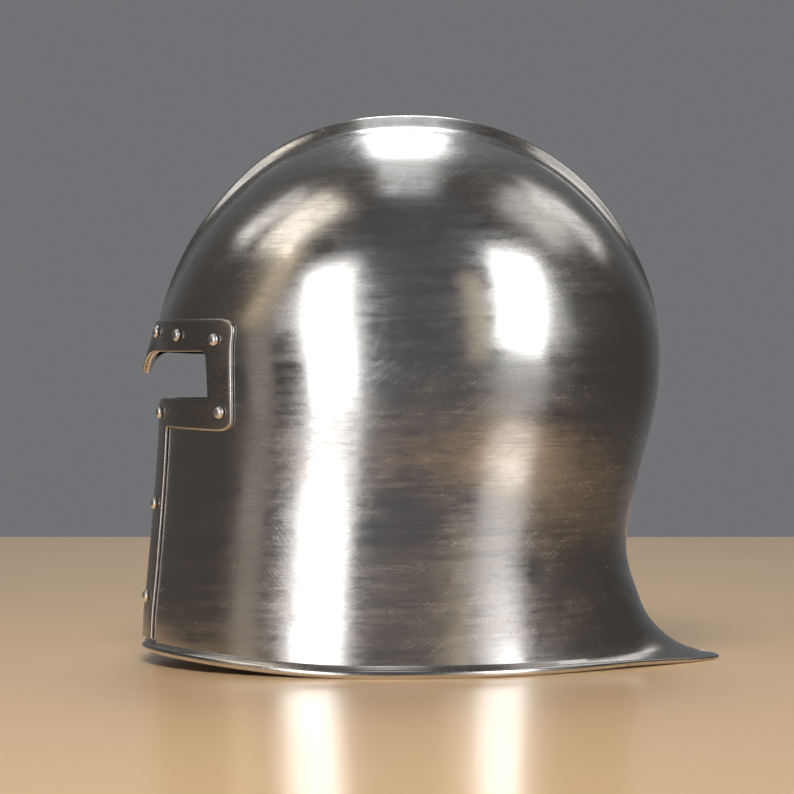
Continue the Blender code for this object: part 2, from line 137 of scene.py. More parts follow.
def curve_at(knots: Array, values: Array, bends: Array, place: Array) -> Array:
    """Value of the smooth curve at each place along the knots.

    Args:
        knots: Rising places of the values.
        values: One value at each knot.
        bends: What curve_bends returns for them.
        place: Where the curve is read.

    Returns:
        One value for each place.
    """
    i = np.clip(np.searchsorted(knots, place) - 1, 0, len(knots) - 2)
    span = knots[i + 1] - knots[i]
    before = (knots[i + 1] - place) / span
    after = (place - knots[i]) / span
    bend = (before ** 3 - before) * bends[i] + (after ** 3 - after) * bends[i + 1]
    return before * values[i] + after * values[i + 1] + bend * span ** 2 / 6


def eased(value: Array) -> Array:
    """Smooth step from 0 to 1 of a value clipped to that range."""
    value = np.clip(value, 0.0, 1.0)
    return value * value * (3 - 2 * value)


@dataclass
class SkullForm:
    """Outer form of the skull: level sections joined by smooth curves, with comb, sweep and flick."""

    length: float = 0.310
    height: float = 0.291
    width: float = 0.210
    centre_shift: float = -0.0009
    comb_height: float = 0.0085
    comb_half: float = 0.0125
    front_sweep: float = 0.0067
    sweep_start: float = -0.038
    sweep_run: float = 0.125
    sweep_top: float = 0.070
    tail_drop: float = 0.0011
    tail_power: int = 9
    flick_slope: float = 0.33
    flick_top: float = 0.1745
    flick_blend: float = 0.006
    flick_half: float = 0.011
    flick_fade: float = 0.015
    flick_low: float = 0.1393
    flick_high: float = 0.1505
    sweep_power: float = 1.5
    drop_power: int = 4
    scan_steps: int = 4000
    small_step: float = 1e-4
    front_step: float = 1e-5
    front_rounds: int = 6
    curves: dict[str, tuple[Array, Array]] = field(default_factory=dict)

    def __post_init__(self) -> None:
        """Lays the smooth curves through the level table, mirrored past the crown."""
        rows = dict(zip(LEVEL_NAMES, np.array(LEVELS).T))
        height = rows["height"] * self.height
        station = rows["station"] * self.length
        back = rows["back"] * self.length - station
        tail = rows["tail"] * self.length
        chord = np.hypot(np.diff(height), np.diff(back + tail))
        rise = np.concatenate([[0.0], np.cumsum(chord)])
        self.crown = float(rise[-1])
        self.knots = np.concatenate([rise, 2 * self.crown - rise[-2::-1]])
        even = {"height": height, "station": station, "tail": tail}
        even["comb_front"] = rows["comb_front"] * self.comb_height
        even["comb_back"] = rows["comb_back"] * self.comb_height
        front = station - rows["front"] * self.length
        odd = {"front": front, "back": back, "half": rows["half"] * self.width}
        for sign, group in ((1, even), (-1, odd)):
            for name, values in group.items():
                whole = np.concatenate([values, sign * values[-2::-1]])
                self.curves[name] = (whole, curve_bends(self.knots, whole))
        across = np.array(COMB_ACROSS)
        self.comb_knots = np.concatenate([-across[:0:-1, 0], across[:, 0]])
        self.comb_values = np.concatenate([across[:0:-1, 1], across[:, 1]])
        self.comb_bends = curve_bends(self.comb_knots, self.comb_values)
        self.scan = np.linspace(0.0, self.crown, self.scan_steps)
        self.scan_height = self.column("height", self.scan)

    def column(self, name: str, place: Array) -> Array:
        """Smooth value of one column of the table at each place up the wall."""
        values, bends = self.curves[name]
        return curve_at(self.knots, values, bends, np.asarray(place, dtype=float))

    def place_of(self, height: Array) -> Array:
        """Place up the wall of each height."""
        return np.interp(height, self.scan_height, self.scan)

    def plain(self, place: Array, turn: Array) -> Array:
        """Points of the skull without its comb.

        Args:
            place: Places up the wall.
            turn: Turns round it, 0 at the face and pi at the tail.

        Returns:
            One point for each place and turn.
        """
        cos = np.cos(turn)
        back_side = np.clip(-cos, 0.0, 1.0)
        x = self.column("station", place) - self.column("front", place) * np.clip(cos, 0.0, 1.0)
        x = x + self.column("back", place) * back_side + self.centre_shift
        x = x + self.column("tail", place) * back_side ** self.tail_power
        y = self.column("half", place) * np.sin(turn)
        z = self.column("height", place)
        sweep = eased((self.sweep_start - x) / self.sweep_run)
        low = np.clip(1 - z / self.sweep_top, 0.0, 1.0)
        z = z + self.front_sweep * sweep * low ** self.sweep_power
        z = z - self.tail_drop * back_side ** self.tail_power * low ** self.drop_power
        return np.stack([x, y, z], axis=-1)

    def normals(self, surface: Surface, place: Array, turn: Array) -> Array:
        """Outward unit normals of a surface of this form, by small steps along it.

        Args:
            surface: The plain or the outer surface.
            place: Places up the wall.
            turn: Turns round it.

        Returns:
            One unit normal for each place and turn.
        """
        step = self.crown * self.small_step
        place = np.minimum(place, self.crown - 2 * step)
        along = surface(place + step, turn) - surface(place - step, turn)
        round_it = surface(place, turn + self.small_step) - surface(place, turn - self.small_step)
        cross = np.cross(along, round_it)
        return cross / np.maximum(np.linalg.norm(cross, axis=-1, keepdims=True), SHORTEST)

    def outer(self, place: Array, turn: Array) -> Array:
        """Points of the finished outer surface, with comb and flick.

        Args:
            place: Places up the wall.
            turn: Turns round it, 0 at the face and pi at the tail.

        Returns:
            One point for each place and turn.
        """
        points = self.plain(place, turn)
        front_side = 0.5 + 0.5 * np.cos(turn)
        comb = self.column("comb_front", place) * front_side
        comb = np.clip(comb + self.column("comb_back", place) * (1 - front_side), 0.0, None)
        offset = np.clip(points[..., 1] / self.comb_half, -1.0, 1.0)
        shape = np.clip(curve_at(self.comb_knots, self.comb_values, self.comb_bends, offset), 0.0, 1.0)
        points = points + self.normals(self.plain, place, turn) * (comb * shape)[..., None]
        points[..., 0] -= self.flick(points[..., 1], points[..., 2], np.cos(turn) > 0)
        return points

    def flick(self, y: Array, z: Array, at_front: Array) -> Array:
        """How far the nasal and the brow above it turn forward.

        Args:
            y: Distance from the middle plane.
            z: Height.
            at_front: True on the face side.

        Returns:
            One distance for each point, 0 away from the nasal.
        """
        drop = self.flick_top - z
        soft = np.clip(drop + self.flick_blend, 0, None) ** 2 / (4 * self.flick_blend)
        forward = self.flick_slope * np.where(drop < self.flick_blend, soft, drop)
        sideways = 1 - eased((np.abs(y) - self.flick_half) / self.flick_fade)
        below = eased((z - self.flick_low) / (self.flick_high - self.flick_low))
        return np.where(at_front, forward * sideways * below, 0.0)

    def facing(self, y: Array, z: Array) -> Array:
        """Points of the outer surface in front of each (y, z) seen from the face side.

        Args:
            y: Distance from the middle plane.
            z: Height.

        Returns:
            One point for each pair.
        """
        y, z = np.broadcast_arrays(np.asarray(y, float), np.asarray(z, float))
        ring = z.copy()
        for _ in range(self.front_rounds):
            place = self.place_of(ring)
            turn = np.arcsin(np.clip(y / self.column("half", place), -1.0, 1.0))
            points = self.outer(place, turn)
            ring = ring + (z - points[..., 2])
        return points

    def on_front(self, y: Array, z: Array, lift: Array) -> tuple[Array, Array]:
        """Points held off the face side.

        Args:
            y: Distance from the middle plane.
            z: Height.
            lift: Distance off the outer surface.

        Returns:
            The points, and the outward unit normals there.
        """
        step = self.front_step
        side = self.facing(y + step, z) - self.facing(y - step, z)
        rise = self.facing(y, z + step) - self.facing(y, z - step)
        normal = np.cross(rise, side)
        normal /= np.linalg.norm(normal, axis=-1, keepdims=True)
        return self.facing(y, z) + normal * np.asarray(lift)[..., None], normal


# Shader writing

@dataclass(frozen=True)
class Grain:
    """One layer of noise.

    Scale is in features per metre along the turned axes, turn in degrees. Detail and roughness
    are the number and strength of its finer layers, warp is how much it bends itself, and depth
    is its depth in the relief, in metres.
    """

    scale: Triple
    turn: Triple = (0.0, 0.0, 0.0)
    detail: float = 3.0
    roughness: float = 0.5
    warp: float = 0.0
    depth: float = 0.0


class Wire:
    """A shader socket on which sums, differences and products are written as plain arithmetic."""

    def __init__(self, board: "Board", socket: bpy.types.NodeSocket) -> None:
        """Keeps the board and the socket."""
        self.board = board
        self.socket = socket

    def _math(self, operation: str, first: object, second: object = 0.0) -> "Wire":
        """One Math node of this operation."""
        return self.board.node("Math", {"operation": operation}, {0: first, 1: second})

    def __add__(self, other: object) -> "Wire":
        """Sum."""
        return self._math("ADD", self, other)

    def __radd__(self, other: object) -> "Wire":
        """Sum with a number first."""
        return self._math("ADD", other, self)

    def __sub__(self, other: object) -> "Wire":
        """Difference."""
        return self._math("SUBTRACT", self, other)

    def __rsub__(self, other: object) -> "Wire":
        """Difference from a number."""
        return self._math("SUBTRACT", other, self)

    def __mul__(self, other: object) -> "Wire":
        """Product."""
        return self._math("MULTIPLY", self, other)

    def size(self) -> "Wire":
        """Value without its sign."""
        return self._math("ABSOLUTE", self)

    def step(self, low: float, high: float) -> "Wire":
        """Smooth step from 0 at low to 1 at high."""
        ends = {"Value": self, "From Min": low, "From Max": high}
        return self.board.node("MapRange", {"interpolation_type": "SMOOTHSTEP"}, ends)


class Board:
    """The node tree of one material or world."""

    def __init__(self, tree: bpy.types.NodeTree) -> None:
        """Empties the tree."""
        self.tree = tree
        tree.nodes.clear()

    def node(self, kind: str, settings: dict[str, object] | None = None, inputs: Inputs | None = None,
             out: int | str = 0) -> Wire:
        """Adds one node.

        Args:
            kind: Name of the node type, without "ShaderNode".
            settings: Its properties; "stops" are the places and colours of a ramp.
            inputs: Values or wires of its sockets, by name or place.
            out: Name or place of the output that is returned.

        Returns:
            That output as a wire.
        """
        made = self.tree.nodes.new(f"ShaderNode{kind}")
        for name, value in (settings or {}).items():
            if name == "stops":
                self._stops(made.color_ramp, value)
            else:
                setattr(made, name, value)
        for name, value in (inputs or {}).items():
            if isinstance(value, Wire):
                self.tree.links.new(value.socket, made.inputs[name])
            else:
                made.inputs[name].default_value = value
        return Wire(self, made.outputs[out] if len(made.outputs) else made.inputs[0])

    def _stops(self, ramp: bpy.types.ColorRamp, stops: tuple) -> None:
        """Sets the stops of a colour ramp.

        Args:
            ramp: The ramp.
            stops: Place and colour of each stop.
        """
        while len(ramp.elements) < len(stops):
            ramp.elements.new(0.5)
        for element, (place, colour) in zip(ramp.elements, stops):
            element.position = place
            element.color = (*colour, 1.0)

    def blend(self, first: object, second: object, share: object) -> Wire:
        """Colour between two colours."""
        ends = {0: share, 6: self._rgba(first), 7: self._rgba(second)}
        return self.node("Mix", {"data_type": "RGBA"}, ends, 2)

    def _rgba(self, colour: object) -> object:
        """A colour of three numbers with its alpha; a wire as it is."""
        return colour if isinstance(colour, Wire) else (*colour, 1.0)

    def grain(self, layer: Grain) -> Wire:
        """Noise over the piece.

        Args:
            layer: Its scale, turn and make.

        Returns:
            Noise near 0.5.
        """
        spot = self.node("TexCoord", out="Object")
        placing = {"Vector": spot, "Rotation": tuple(math.radians(value) for value in layer.turn)}
        turned = self.node("Mapping", {"vector_type": "POINT"}, placing)
        spread = self.node("VectorMath", {"operation": "MULTIPLY"}, {0: turned, 1: layer.scale})
        form = {
            "Vector": spread, "Scale": 1.0, "Detail": layer.detail,
            "Roughness": layer.roughness, "Distortion": layer.warp,
        }
        return self.node("TexNoise", None, form)


# Finishes

@dataclass(frozen=True)
class Hairlines:
    """Thin straight scratches in one direction, in patches."""

    scale: float
    turn: Triple
    width: float
    stretch: float = 0.012
    patch_scale: float = 18.0
    patch_low: float = 0.50
    patch_high: float = 0.66

    def lay(self, board: Board) -> Wire:
        """Writes the scratches.

        Args:
            board: Tree that they are written on.

        Returns:
            1 in a scratch and 0 beside it.
        """
        along = self.scale * self.stretch
        lines = board.grain(Grain((along, along, self.scale), self.turn, 1.0, 0.4, 0.05))
        patches = board.grain(Grain((self.patch_scale,) * 3, self.turn, 2.0))
        thin = 1 - (lines - MIDDLE).size().step(0.0, self.width)
        return thin * patches.step(self.patch_low, self.patch_high)


@dataclass(frozen=True)
class SteelFinish:
    """Bare steel, ground and polished by hand, with haze, brush marks and hairline scratches.

    The last four fields are the strengths of the haze, the brush marks, the hammered unevenness
    and the scratches.
    """

    name: str
    tint: Triple
    dark_tint: Triple
    rough: float
    haze: float
    brush: float
    planish: float
    scratch: float

    def material(self) -> bpy.types.Material:
        """Makes the finish.

        Returns:
            The material, named for the finish.
        """
        made = bpy.data.materials.new(self.name)
        made.use_nodes = True
        board = Board(made.node_tree)
        clouds, smudges = board.grain(CLOUDS), board.grain(SMUDGES)
        bands, brush = board.grain(BANDS), board.grain(BRUSH_MARKS)
        lines = FALLING_LINES.lay(board)
        lines = lines + RISING_LINES.lay(board)
        lines = lines + LEVEL_LINES.lay(board) * 0.5
        streaks, specks = board.grain(STREAKS), board.grain(SPECKS)
        uneven = (clouds - MIDDLE) * 1.5 + (smudges - MIDDLE) * 1.1
        uneven = uneven + (bands - MIDDLE) * 0.9 + (streaks - MIDDLE) * 0.9
        cut = lines * (0.055 * self.scratch)
        rough = self.rough + (uneven + (specks - MIDDLE) * 0.5) * self.haze + cut
        stain = clouds.step(0.38, 0.68) * 0.45 + smudges.step(0.40, 0.72) * 0.35
        colour = board.blend(self.tint, self.dark_tint, stain + streaks.step(0.45, 0.7) * 0.3)
        dents, ripple = board.grain(DENTS), board.grain(RIPPLE)
        height = dents * (DENTS.depth * self.planish) + ripple * (RIPPLE.depth * self.planish)
        height = height + brush * (BRUSH_MARKS.depth * self.brush) + bands * (BANDS.depth * self.brush)
        height = height + streaks * (STREAKS.depth * self.brush) - lines * (LINE_DEPTH * self.scratch)
        relief = board.node("Bump", None, {"Strength": 1.0, "Distance": 1.0, "Height": height})
        shader = {"Base Color": colour, "Metallic": 1.0, "Roughness": rough, "Normal": relief}
        skin = board.node("BsdfPrincipled", None, shader)
        board.node("OutputMaterial", None, {"Surface": skin})
        made.diffuse_color = (*self.tint, 1.0)
        return made


@dataclass(frozen=True)
class FloorFinish:
    """Plain pale table top with a little gloss."""

    name: str = "pale_table_top"
    colour: Triple = (0.84, 0.56, 0.31)
    rough: float = 0.17
    deep_share: float = 0.93
    gloss_spread: float = 0.08
    layer: Grain = Grain((3.0, 3.0, 3.0), detail=4.0)

    def material(self) -> bpy.types.Material:
        """Makes the finish, with a faint unevenness of its tone and gloss.

        Returns:
            The material, named for the finish.
        """
        made = bpy.data.materials.new(self.name)
        made.use_nodes = True
        board = Board(made.node_tree)
        uneven = board.grain(self.layer)
        tone = board.blend(self.colour, tuple(self.deep_share * part for part in self.colour), uneven)
        rough = self.rough + (uneven - MIDDLE) * self.gloss_spread
        skin = board.node("BsdfPrincipled", None, {"Base Color": tone, "Roughness": rough})
        board.node("OutputMaterial", None, {"Surface": skin})
        return made


CLOUDS = Grain((21.0, 21.0, 30.0), detail=4.0, roughness=0.6, warp=0.4)
SMUDGES = Grain((62.0, 62.0, 95.0), (0.0, 12.0, 0.0), 5.0, 0.65, 0.8)
BANDS = Grain((9.0, 9.0, 190.0), (0.0, 4.0, 0.0), 4.0, 0.6, depth=0.000016)
BRUSH_MARKS = Grain((55.0, 55.0, 2600.0), (0.0, -3.0, 0.0), 2.0, 0.6, depth=0.0000030)
STREAKS = Grain((38.0, 38.0, 820.0), (0.0, -2.0, 0.0), 3.0, 0.6, depth=0.0000080)
SPECKS = Grain((1100.0, 1100.0, 1100.0), detail=1.0)
DENTS = Grain((30.0, 30.0, 30.0), detail=1.0, roughness=0.4, depth=0.00022)
RIPPLE = Grain((85.0, 85.0, 120.0), detail=2.0, depth=0.000035)
FALLING_LINES = Hairlines(900.0, (0.0, 38.0, 0.0), 0.020)
RISING_LINES = Hairlines(760.0, (0.0, -52.0, 20.0), 0.016)
LEVEL_LINES = Hairlines(1100.0, (0.0, 8.0, 0.0), 0.014)
LINE_DEPTH = 0.0000022

SHELL_STEEL = SteelFinish(
    "shell_steel_polished", (0.64, 0.63, 0.615), (0.47, 0.455, 0.44),
    rough=0.215, haze=0.17, brush=1.0, planish=1.0, scratch=1.0,
)
INNER_STEEL = SteelFinish(
    "shell_steel_inner", (0.36, 0.35, 0.34), (0.22, 0.21, 0.20),
    rough=0.42, haze=0.14, brush=1.0, planish=1.5, scratch=0.6,
)
BORDER_STEEL = SteelFinish(
    "border_steel_satin", (0.50, 0.48, 0.455), (0.36, 0.34, 0.32),
    rough=0.30, haze=0.13, brush=1.2, planish=0.5, scratch=1.0,
)
RIVET_STEEL = SteelFinish(
    "rivet_steel_domed", (0.76, 0.745, 0.725), (0.60, 0.58, 0.56),
    rough=0.36, haze=0.12, brush=0.8, planish=0.2, scratch=0.8,
)


# Modelling helpers

def deselect_all() -> None:
    """Leaves edit mode and deselects every object."""
    if bpy.context.object and bpy.context.object.mode != "OBJECT":
        bpy.ops.object.mode_set(mode="OBJECT")
    bpy.ops.object.select_all(action="DESELECT")


def pick(item: bpy.types.Object) -> None:
    """Makes one object the only one selected, and active.

    Args:
        item: The object.
    """
    deselect_all()
    item.select_set(True)
    bpy.context.view_layer.objects.active = item


def settle(item: bpy.types.Object) -> None:
    """Puts an object's place, turn and size into its mesh."""
    pick(item)
    bpy.ops.object.transform_apply(location=True, rotation=True, scale=True)


def close_up(item: bpy.types.Object) -> None:
    """Merges doubles and turns all faces outwards.

    Args:
        item: Closed object.
    """
    pick(item)
    bpy.ops.object.mode_set(mode="EDIT")
    bpy.ops.mesh.select_all(action="SELECT")
    bpy.ops.mesh.remove_doubles(threshold=MERGE_DISTANCE)
    bpy.ops.mesh.normals_make_consistent(inside=False)
    bpy.ops.object.mode_set(mode="OBJECT")


def wrapped_grid(name: str, points: Array) -> bpy.types.Object:
    """Lays a flat grid over rows of points.

    Args:
        name: Name of the new object.
        points: Rows by columns by three coordinates.

    Returns:
        The grid with one vertex at each point, as quads.
    """
    rows, columns = points.shape[:2]
    deselect_all()
    bpy.ops.mesh.primitive_grid_add(x_subdivisions=columns - 1, y_subdivisions=rows - 1, size=1.0)
    item = bpy.context.object
    item.name = name
    item.data.name = name
    made = len(item.data.vertices)
    if made != rows * columns:
        raise ValueError(f"{name}: the grid has {made} vertices for {rows * columns} points")
    item.data.vertices.foreach_set("co", points.reshape(-1).astype(np.float32))
    item.data.update()
    return item


def dress(item: bpy.types.Object, finishes: list[bpy.types.Material], degrees: float) -> None:
    """Gives an object its finishes and its smooth shading.

    Args:
        item: Object to dress.
        finishes: Its materials, in the order of its material numbers.
        degrees: Edges flatter than this are shaded smooth.
    """
    item.data.materials.clear()
    for finish in finishes:
        item.data.materials.append(finish)
    pick(item)
    bpy.ops.object.shade_smooth_by_angle(angle=math.radians(degrees))


def mount(item: bpy.types.Object, nodes: list[str]) -> None:
    """Hangs a finished piece on the helmet and reports it.

    Args:
        item: Finished piece.
        nodes: Solids that it stands for.
    """
    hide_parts(*nodes)
    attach(item, "root")
    LOG.info("%s: %d faces, stands for %s", item.name, len(item.data.polygons), ", ".join(nodes))


class Corner(NamedTuple):
    """Corner of the face border: (side, height) of its inner and outer ends, and how far each is rounded."""

    inner: Pair
    inner_reach: float
    outer: Pair
    outer_reach: float


@dataclass
class OpeningOutline:
    """Inner and outer outlines of the face border as (side, height), with rounded corners."""

    nasal_tip: float = 0.1525
    brow_top: float = 0.180
    strip_bottom: float = 0.0135
    slit_half: float = 0.018
    strip_half_low: float = 0.0347
    bend_steps: int = 9
    run_step: float = 0.0022
    corners: tuple[Corner, ...] = (
        Corner((0.0038, 0.1525), 0.0028, (0.0090, 0.1800), 0.0040),
        Corner((0.0165, 0.1640), 0.0050, (0.0260, 0.1800), 0.0060),
        Corner((0.0674, 0.1632), 0.0032, (0.0795, 0.1800), 0.0080),
        Corner((0.0671, 0.1393), 0.0020, (0.0771, 0.1223), 0.0065),
        Corner((0.0180, 0.1393), 0.0095, (0.0333, 0.1242), 0.0025),
    )
    # How the foot of the slit widens: out from its side, up from the front edge.
    slit_foot: tuple[Pair, ...] = (
        (0.0000, 0.0060), (0.0003, 0.0040), (0.0012, 0.0022),
        (0.0028, 0.0008), (0.0055, 0.0000), (0.0055, -0.0300),
    )

    def _bend(self, spots: list[Array], reach: float) -> Array:
        """Rounded corner at the middle one of three points.

        Args:
            spots: The points before, at and after the corner.
            reach: How far from it the bend starts and ends.

        Returns:
            Points along the bend.
        """
        before, corner, after = spots
        start = corner + (before - corner) * reach / np.linalg.norm(before - corner)
        end = corner + (after - corner) * reach / np.linalg.norm(after - corner)
        share = np.linspace(0.0, 1.0, self.bend_steps)[:, None]
        return start * (1 - share) ** 2 + corner * 2 * share * (1 - share) + end * share ** 2

    def runs(self) -> tuple[Array, Array]:
        """Both outlines of one side.

        Returns:
            Inner and outer points from the middle of the brow to the foot of the strip, in step with
            each other.
        """
        inner = [np.array([0.0, self.nasal_tip])] + [np.array(corner.inner) for corner in self.corners]
        outer = [np.array([0.0, self.brow_top])] + [np.array(corner.outer) for corner in self.corners]
        inner.append(np.array([self.slit_half, self.strip_bottom]))
        outer.append(np.array([self.strip_half_low, self.strip_bottom]))
        runs = ([inner[0]], [outer[0]])
        for index, corner in enumerate(self.corners):
            bends = (
                self._bend(inner[index:index + 3], corner.inner_reach),
                self._bend(outer[index:index + 3], corner.outer_reach),
            )
            self._straight(runs, [bend[0] for bend in bends])
            for run, bend in zip(runs, bends):
                run.extend(bend[1:])
        self._straight(runs, [inner[-1], outer[-1]])
        return np.array(runs[0]), np.array(runs[1])

    def _straight(self, runs: tuple[list, list], ends: list[Array]) -> None:
        """Adds an even straight run to both outlines.

        Args:
            runs: Inner and outer points so far.
            ends: Where the two runs end.
        """
        longest = max(np.linalg.norm(end - run[-1]) for run, end in zip(runs, ends))
        steps = max(1, math.ceil(longest / self.run_step))
        for run, end in zip(runs, ends):
            start = run[-1]
            run.extend(start + (end - start) * step / steps for step in range(1, steps + 1))


@dataclass
class SkullShell:
    """One-piece shell with its comb, rolled edge and face opening."""

    form: SkullForm
    outline: OpeningOutline
    wall: float = 0.0016
    roll_radius: float = 0.0025
    roll_tail_share: float = 0.44
    roll_front_share: float = 0.72
    roll_sink: float = 0.00055
    rest_band: float = 0.00015
    roll_start: float = -72.0
    roll_end: float = 150.0
    roll_steps: int = 22
    wall_rings: int = 74
    dome_rings: int = 46
    side_steps: int = 34
    wall_low: float = 0.0215
    wall_high: float = 0.614
    wall_crowding: float = 0.35
    dome_crowding: float = 1.15
    edge_step: float = 2e-4
    down_step: float = 2e-3
    cutter_front: float = -0.190
    cutter_depth: float = 0.140
    smooth_degrees: float = 32.0
    middle_share: float = 0.62
    # Lines beside the comb, as shares of its half width.
    middle_lines: tuple[float, ...] = (
        0.0, 0.05, 0.10, 0.16, 0.22, 0.29, 0.36, 0.44, 0.53, 0.63, 0.74, 0.86, 1.0, 1.16, 1.36, 1.60, 1.90,
    )

    def _turns(self, half: float) -> Array:
        """Turns of the columns round a ring: fixed lines by the comb, even ones at the sides.

        Args:
            half: Half width of the ring.

        Returns:
            Turns once round, the first one repeated at the end.
        """
        lines = np.array(self.middle_lines) * self.form.comb_half
        near = np.arcsin(lines * min(1.0, self.middle_share * half / lines[-1]) / half)
        side = near[-1] + (math.pi / 2 - near[-1]) * np.arange(1, self.side_steps + 1) / self.side_steps
        front = np.concatenate([near, side])
        half_ring = np.concatenate([front, math.pi - front[-2::-1]])
        return np.concatenate([half_ring, 2 * math.pi - half_ring[-2::-1]])

    def _places(self) -> Array:
        """Places of the rings up the wall, closer together at the cove and near the crown.

        Returns:
            One place for each ring.
        """
        share = np.linspace(0.0, 1.0, self.wall_rings)
        low, high = self.wall_low * self.form.height, self.wall_high * self.form.height
        eased_share = self.wall_crowding * share ** 2 + (1 - self.wall_crowding) * share
        wall = self.form.place_of(low + (high - low) * eased_share)
        steps = np.arange(1, self.dome_rings + 1) / (self.dome_rings + 0.5)
        dome = wall[-1] + (self.form.crown - wall[-1]) * (1 - (1 - steps) ** self.dome_crowding)
        return np.concatenate([wall, dome])

    def _roll(self, turns: Array) -> list[Array]:
        """Rings of the outward roll round the lower edge, flat where it rests.

        Args:
            turns: Turns of the columns at the edge.

        Returns:
            Rows of points from the outer wall round to the inner wall.
        """
        form = self.form
        place = np.zeros_like(turns)
        edge = form.outer(place, turns)
        normal = form.normals(form.outer, place + form.crown * self.edge_step, turns)
        down = edge - form.outer(place + form.crown * self.down_step, turns)
        down -= normal * np.sum(down * normal, axis=-1, keepdims=True)
        down /= np.linalg.norm(down, axis=-1, keepdims=True)
        slimmer = (1 - self.roll_tail_share) * np.clip(-np.cos(turns), 0.0, 1.0) ** form.tail_power
        slimmer = slimmer + (1 - self.roll_front_share) * np.clip(np.cos(turns), 0.0, 1.0) ** form.tail_power
        radius = (self.roll_radius * (1 - slimmer))[:, None]
        centre = edge + normal * (radius - self.wall)
        rings = []
        for angle in np.radians(np.linspace(self.roll_start, self.roll_end, self.roll_steps)):
            ring = centre + radius * (math.cos(angle) * normal + math.sin(angle) * down)
            low = ring[:, 2] - self.roll_sink
            ring[:, 2] = np.where(low < self.rest_band, 0.0, low)
            rings.append(ring)
        return rings

    def _body(self) -> bpy.types.Object:
        """Closed shell of outer wall, roll and inner wall.

        Returns:
            The uncut shell, its inner wall on the second material.
        """
        form = self.form
        outer, inner = [], []
        for place in self._places():
            turns = self._turns(float(form.column("half", place)))
            spots = np.full_like(turns, place)
            points = form.outer(spots, turns)
            outer.append(points)
            inner.append(points - form.normals(form.outer, spots, turns) * self.wall)
        roll = self._roll(self._turns(float(form.column("half", 0.0))))
        crown = form.outer(np.array([form.crown]), np.array([0.0])) * np.array([1.0, 0.0, 1.0])
        top = np.repeat(crown, len(roll[0]), axis=0)
        rows = [top] + outer[::-1] + roll + inner + [top - np.array([0.0, 0.0, self.wall])]
        shell = wrapped_grid("skull_shell_polished", np.array(rows))
        first_inner = (len(outer) + len(roll)) * (len(roll[0]) - 1)
        index = np.zeros(len(shell.data.polygons), dtype=np.int32)
        index[first_inner:] = 1
        shell.data.materials.append(None)
        shell.data.materials.append(None)
        shell.data.polygons.foreach_set("material_index", index)
        close_up(shell)
        return shell

    def _cutter(self) -> bpy.types.Object:
        """Prism of the face opening, seen from the face side.

        Returns:
            The prism.
        """
        inner = self.outline.runs()[0]
        slit, sweep = self.outline.slit_half, self.form.front_sweep
        foot = [(slit + out, sweep + up) for out, up in self.outline.slit_foot]
        side = [tuple(point) for point in inner[:-1]] + foot
        ring = np.array(side + [(-y, z) for y, z in side[:0:-1]])
        deselect_all()
        bpy.ops.mesh.primitive_circle_add(vertices=len(ring), radius=1.0, fill_type="NGON")
        cutter = bpy.context.object
        far = np.column_stack([np.full(len(ring), self.cutter_front), ring])
        cutter.data.vertices.foreach_set("co", far.reshape(-1).astype(np.float32))
        cutter.data.update()
        bpy.ops.object.mode_set(mode="EDIT")
        bpy.ops.mesh.select_all(action="SELECT")
        back = {"value": (self.cutter_depth, 0.0, 0.0)}
        bpy.ops.mesh.extrude_region_move(TRANSFORM_OT_translate=back)
        bpy.ops.object.mode_set(mode="OBJECT")
        close_up(cutter)
        return cutter

    def build(self) -> bpy.types.Object:
        """Builds the shell, cuts the face opening and dresses it.

        Returns:
            The finished shell.
        """
        shell = self._body()
        cutter = self._cutter()
        pick(shell)
        cut = shell.modifiers.new("face_opening", "BOOLEAN")
        cut.operation = "DIFFERENCE"
        cut.solver = "EXACT"
        cut.object = cutter
        bpy.ops.object.modifier_apply(modifier=cut.name)
        bpy.data.objects.remove(cutter, do_unlink=True)
        dress(shell, [SHELL_STEEL.material(), INNER_STEEL.material()], self.smooth_degrees)
        mount(shell, ["skull_shell"])
        return shell


